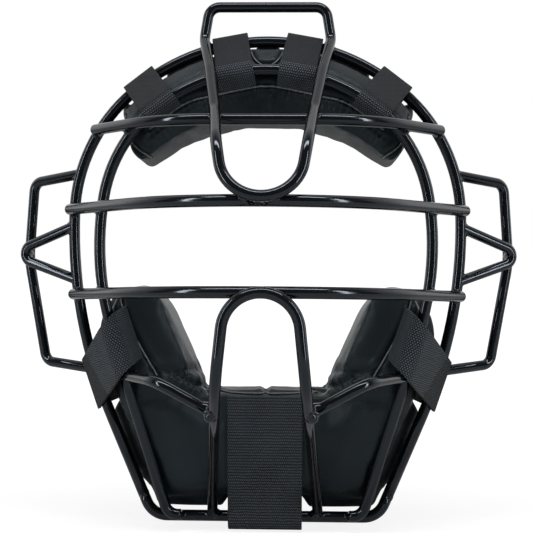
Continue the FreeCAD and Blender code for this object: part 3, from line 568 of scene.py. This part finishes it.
tubes = {wire: merged(wire) for wire in WIRES}
trees = {wire: BVHTree.FromBMesh(tube) for wire, tube in tubes.items()}
for tube in tubes.values():
    tube.faces.ensure_lookup_table()
meetings = []
for one, other in itertools.combinations(WIRES, 2):
    for face, other_face in trees[one].overlap(trees[other]):
        corners = [[vertex.co for vertex in tubes[one].faces[face].verts],
                   [vertex.co for vertex in tubes[other].faces[other_face].verts]]
        low = [
            max(min(corner[axis] for corner in triangle) for triangle in corners)
            for axis in range(3)]
        high = [
            min(max(corner[axis] for corner in triangle) for triangle in corners)
            for axis in range(3)]
        spot = (Vector(low) + Vector(high)) / 2
        near = [meeting for meeting in meetings if (meeting[0] - spot).length < ONE_MEETING]
        if near:
            near[0].append(spot)
        else:
            meetings.append([spot])

# The inner rim's own ends meet at its top, in a butt weld.
inner_low, inner_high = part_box("inner_rim")
meetings.append([Vector((0, inner_low.y + WIRE_RADIUS, inner_high.z - WIRE_RADIUS))])

welds = bmesh.new()
for meeting in meetings:
    middle = sum(meeting, Vector()) / len(meeting)
    joint = bmesh.new()
    bmesh.ops.create_icosphere(
        joint, subdivisions=3, radius=JOINT_BALL, matrix=Matrix.Translation(middle))
    for tube in tubes.values():
        length = tube.copy()
        for way in (Vector((1, 0, 0)), Vector((0, 1, 0)), Vector((0, 0, 1))):
            for outward in (way, -way):
                bmesh.ops.bisect_plane(
                    length, geom=length.verts[:] + length.edges[:] + length.faces[:], dist=1e-7,
                    plane_co=middle + outward * JOINT_REACH, plane_no=outward, clear_outer=True)
                open_edges = [edge for edge in length.edges if edge.is_boundary]
                bmesh.ops.holes_fill(length, edges=open_edges)
        cut = bpy.data.meshes.new("cut")
        length.to_mesh(cut)
        length.free()
        joint.from_mesh(cut)
    block = piece("weld_block", joint, gloss_black, "frame_and_pads")
    remesh = block.modifiers.new("remesh", "REMESH")
    remesh.mode = "VOXEL"
    remesh.voxel_size = 0.0007
    smooth = block.modifiers.new("smooth", "SMOOTH")
    smooth.factor = 0.5
    smooth.iterations = 12
    welds.from_mesh(applied(block))
    bpy.data.objects.remove(block)
for tube in tubes.values():
    tube.free()
weld_coat = piece("weld_fillets", welds, gloss_black, "frame_and_pads")

# Straps: black polypropylene webbing, sewn into the pads and folded over the rim --------------
# Each is drawn from the side, in millimetres outward and back from the wire that it folds over.
# Its first stretch is faced with loop tape, and its tail peels off the hook tape below it.

MM = 0.001
THICK = 1.6
SELVEDGE = 0.45
COLUMN = 2.5
STEP = 2
STEP_TURN = 9
CHEEK_WIDTH = 24.5
CHEEK_SLANT = 49
CHEEK_UNCUT = 60
NARROW_HALF = 9.75
CHIN_HALF = 20


def webbing(name, row_pitch, yarn_pitch, slant, relief_depth, light):
    """Rows of raised yarns across the webbing, each row set off against the last."""
    weave = Finish(bpy.data.materials.new(name))
    cloth = weave.node("ShaderNodeUVMap", {"uv_map": "cloth"})
    along = weave.node("ShaderNodeSeparateXYZ", inputs={0: cloth}, output=0)
    across = weave.node("ShaderNodeSeparateXYZ", inputs={0: cloth}, output=1)
    waver = weave.node("ShaderNodeTexNoise", inputs={"Vector": cloth, "Scale": 160.0, "Detail": 2.0})
    rows = along / (row_pitch * MM) + waver * 0.5
    in_row = rows % 1.0
    odd = rows.maths("FLOOR") % 2.0
    yarns = (
        across / (yarn_pitch * MM) + waver * 0.4 + odd * 0.5
        + (odd - 0.5) * (in_row - 0.5) * slant) % 1.0
    row_crown = 1.0 - ((in_row - 0.5) * 2.0).maths("ABSOLUTE") ** 2.5
    yarn_crown = 1.0 - ((yarns - 0.5) * 2.0).maths("ABSOLUTE") ** 2.0
    crown = row_crown * yarn_crown
    fibres = weave.node("ShaderNodeTexNoise", inputs={"Vector": cloth, "Scale": 2600.0, "Detail": 3.0})
    wear = weave.node("ShaderNodeTexNoise", inputs={"Vector": cloth, "Scale": 60.0, "Detail": 3.0})
    relief = weave.node("ShaderNodeBump", inputs={
        "Height": crown + fibres * 0.25, "Strength": 0.9, "Distance": relief_depth * MM})
    # Each yarn's crown is painted lighter and the gaps between yarns darker, following the relief: a painted
    # highlight on the crowns and painted shade in the gaps. The fibre and wear noises add random tone.
    shade = weave.node("ShaderNodeMix", {"data_type": "RGBA"}, {
        MIX_SHARE: crown ** 2.2 + fibres * 0.25 + wear * 0.2 - 0.2,
        MIX_DARK: (0.0012, 0.0014, 0.002, 1),
        MIX_LIGHT: light}, output=MIX_COLOUR)
    return weave.surface(weave.node("ShaderNodeBsdfPrincipled", inputs={
        "Base Color": shade,
        "Roughness": 0.6 + fibres * 0.2,
        "Specular IOR Level": 0.15,
        "Normal": relief}))


plain_weave = webbing("plain_webbing", 0.9, 1.1, 0.0, 0.3, (0.024, 0.028, 0.034, 1))
loop_weave = webbing("loop_webbing", 1.15, 1.25, 0.0, 0.4, (0.066, 0.078, 0.093, 1))
herringbone = webbing("chin_webbing", 1.57, 1.03, 1.3, 0.35, (0.052, 0.062, 0.073, 1))


class StrapSide:
    """The side view of a strap: a spot is so far out from a wire and so far back from it. The
    strap's width runs along the wire, and down."""

    def __init__(self, wire, outward):
        self.wire = Vector(wire) * MM
        self.outward = Vector(outward).normalized()
        self.down = Vector((0, 1, 0)).cross(self.outward)

    def way(self, spot):
        return (self.outward * spot[0] + Vector((0, spot[1], 0))) * MM


def laid(side, start, moves, above, below):
    """A band with no thickness, laid from a start. A move with no turn goes straight to its spot,
    and one with a turn goes so many degrees round it. The cloth map is the length laid so far
    and the place across the width."""
    bm = bmesh.new()
    length = bm.verts.layers.float.new("length")
    columns = max(4, round((above + below) / COLUMN))
    corner = side.wire + side.way(start) - side.down * above * MM
    row = [
        bm.verts.new(corner + side.down * (above + below) * MM * column / columns)
        for column in range(columns + 1)]
    front = row + [bm.edges.new(pair) for pair in zip(row, row[1:])]
    here = Vector(start)
    so_far = 0.0
    for spot, turn in moves:
        spot = Vector(spot)
        arm = here - spot
        swing = math.radians(turn)
        stretch = arm.length * (swing or 1.0)
        steps = math.ceil(max(stretch / STEP, turn / STEP_TURN))
        for _ in range(steps):
            swept = bmesh.ops.spin(
                bm, geom=front, cent=side.wire + side.way(spot), axis=-side.down, angle=swing / steps,
                dvec=side.way((0, 0) if turn else -arm / steps), steps=1, use_duplicate=False)
            front = swept["geom_last"]
            so_far += stretch / steps * MM
            for part in front:
                if isinstance(part, bmesh.types.BMVert):
                    part[length] = so_far
        here = spot + Matrix.Rotation(swing, 2) @ arm if turn else spot
    cloth = bm.loops.layers.uv.new("cloth")
    for face in bm.faces:
        for corner in face.loops:
            corner[cloth].uv = (corner.vert[length], (corner.vert.co - side.wire).dot(side.down))
    bmesh.ops.recalc_face_normals(bm, faces=bm.faces)
    return bm


def cut_slanted(bm, side, middle_out, width, slant):
    """Cut a wide band down to a strap that crosses its wire at a slant, and turn its cloth."""
    square = Vector((math.sin(math.radians(slant)), 0, math.cos(math.radians(slant))))
    middle = side.wire + side.way((middle_out, 0))
    for edge_way in (square, -square):
        bmesh.ops.bisect_plane(
            bm, geom=bm.verts[:] + bm.edges[:] + bm.faces[:], dist=1e-7,
            plane_co=middle + edge_way * (width / 2 * MM), plane_no=edge_way, clear_outer=True)
    turn = Matrix.Rotation(-math.atan2(side.outward.dot(square), -side.down.dot(square)), 2)
    cloth = bm.loops.layers.uv.active
    for face in bm.faces:
        for corner in face.loops:
            corner[cloth].uv = turn @ corner[cloth].uv


def strap_piece(node, bm, hand, body, weaves, looped=0):
    """Give a band its thickness and rounded selvedges, with its second weave over the first so
    many millimetres. A left-hand strap is the right-hand one mirrored."""
    if hand == "left":
        bmesh.ops.scale(bm, vec=(-1, 1, 1), verts=bm.verts)
        bmesh.ops.reverse_faces(bm, faces=bm.faces)
    made = piece(node + "_webbing", bm, weaves[0], body)
    made.data.materials.append(weaves[-1])
    cloth = made.data.uv_layers["cloth"].data
    for polygon in made.data.polygons:
        reach = max(cloth[corner].uv.x for corner in polygon.loop_indices)
        polygon.material_index = 1 if reach < looped * MM else 0
    wall = made.modifiers.new("wall", "SOLIDIFY")
    wall.thickness = THICK * MM
    wall.offset = 0
    selvedge = made.modifiers.new("selvedge", "BEVEL")
    selvedge.width = SELVEDGE * MM
    selvedge.segments = 3
    selvedge.angle_limit = math.radians(50)
    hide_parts(node)


# The side view of each kind of strap: a spot on its wire, in millimetres, and the way outward.
SIDES = {
    "top": StrapSide((19.8, 0, 124.036), (0.17679, 0, 0.98425)),
    "side": StrapSide((68.0, 0, 102.794), (0.60714, 0, 0.79459)),
    "cheek": StrapSide((91.469, 0, -60.0), (0.94721, 0, -0.32061)),
    "chin": StrapSide((0, 0, -132.6), (0, 0, -1))}

# Each kind: where the root starts, the moves that lay it, where the tail starts and ends, how far
# the strap reaches above and below its spot on the wire, and how far its root is faced with loops.
STRAPS = (
    ("top", (-27.5, -20.1),
     [((-23.31, -25.81), 0), ((-19.2, -22.8), 105.2), ((3.36, -2.68), 0), ((0, 0), 46.6)],
     (3.89, 1.84), (-8.53, 28.05), NARROW_HALF, NARROW_HALF, 16),
    ("side", (-24.36, -20.1),
     [((-24.26, -22.98), 0), ((-19.16, -22.8), 139.4), ((3.36, -2.68), 0), ((0, 0), 46.5)],
     (3.89, 1.84), (-8.53, 28.05), NARROW_HALF, NARROW_HALF, 13),
    ("cheek", (-29.63, -20.1),
     [((-26.88, -39.73), 0), ((-21.83, -39.02), 143.8), ((3.79, -2.03), 0), ((0, 0), 38.9)],
     (3.8, 2.02), (-9.82, 27.62), 5, 13, 52))

for hand in ("right", "left"):
    for kind, start, moves, tail_start, tail_end, above, below, looped in STRAPS:
        side = SIDES[kind]
        if kind == "cheek":
            band = laid(side, start, moves, CHEEK_UNCUT, CHEEK_UNCUT)
            cut_slanted(band, side, 4.3, CHEEK_WIDTH, CHEEK_SLANT)
        else:
            band = laid(side, start, moves, above, below)
        strap_piece(
            f"{kind}_{hand}_strap", band, hand, "frame_and_pads",
            (plain_weave, loop_weave), looped)
        tail = laid(side, tail_start, [(tail_end, 0)], above, below)
        strap_piece(
            f"{kind}_{hand}_tail", tail, hand, f"{kind}_{hand}_tail", (plain_weave,))

band = laid(
    SIDES["chin"], (-67, -14.93), [((0.8, -6.35), 0), ((0, 0), 104.8)], CHIN_HALF, CHIN_HALF)
strap_piece("chin_strap", band, "right", "frame_and_pads", (herringbone,))
tail = laid(SIDES["chin"], (5.33, 3.55), [((-10.74, 27.69), 0)], CHIN_HALF, CHIN_HALF)
strap_piece("chin_tail", tail, "right", "chin_tail", (herringbone,))


def tape(name, scale, relief_depth, light):
    """Hook tape or loop tape: a mat of nibs, each a cell of its own."""
    mat = Finish(bpy.data.materials.new(name))
    where = mat.node("ShaderNodeTexCoord", output="Object")
    nibs = mat.node("ShaderNodeTexVoronoi", inputs={"Vector": where, "Scale": scale, "Randomness": 0.7})
    relief = mat.node("ShaderNodeBump", inputs={"Height": 1.0 - nibs, "Distance": relief_depth * MM})
    # Each nib's top is painted lighter and the gaps between nibs darker, following the relief: a painted
    # highlight on the tops and painted shade between them.
    shade = mat.node("ShaderNodeMix", {"data_type": "RGBA"}, {
        MIX_SHARE: 0.8 - nibs,
        MIX_DARK: (0.004, 0.0045, 0.005, 1),
        MIX_LIGHT: light}, output=MIX_COLOUR)
    return mat.surface(mat.node("ShaderNodeBsdfPrincipled", inputs={
        "Base Color": shade, "Roughness": 0.75, "Normal": relief}))


hooks = tape("hook_tape", 850.0, 0.5, (0.045, 0.047, 0.052, 1))
loops = tape("loop_tape", 1500.0, 0.3, (0.03, 0.031, 0.035, 1))
for strap in ("top_right", "top_left", "side_right", "side_left", "cheek_right", "cheek_left", "chin"):
    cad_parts[f"{strap}_hook_tape"].material_slots[0].material = hooks
    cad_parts[f"{strap}_loop_tape"].material_slots[0].material = loops
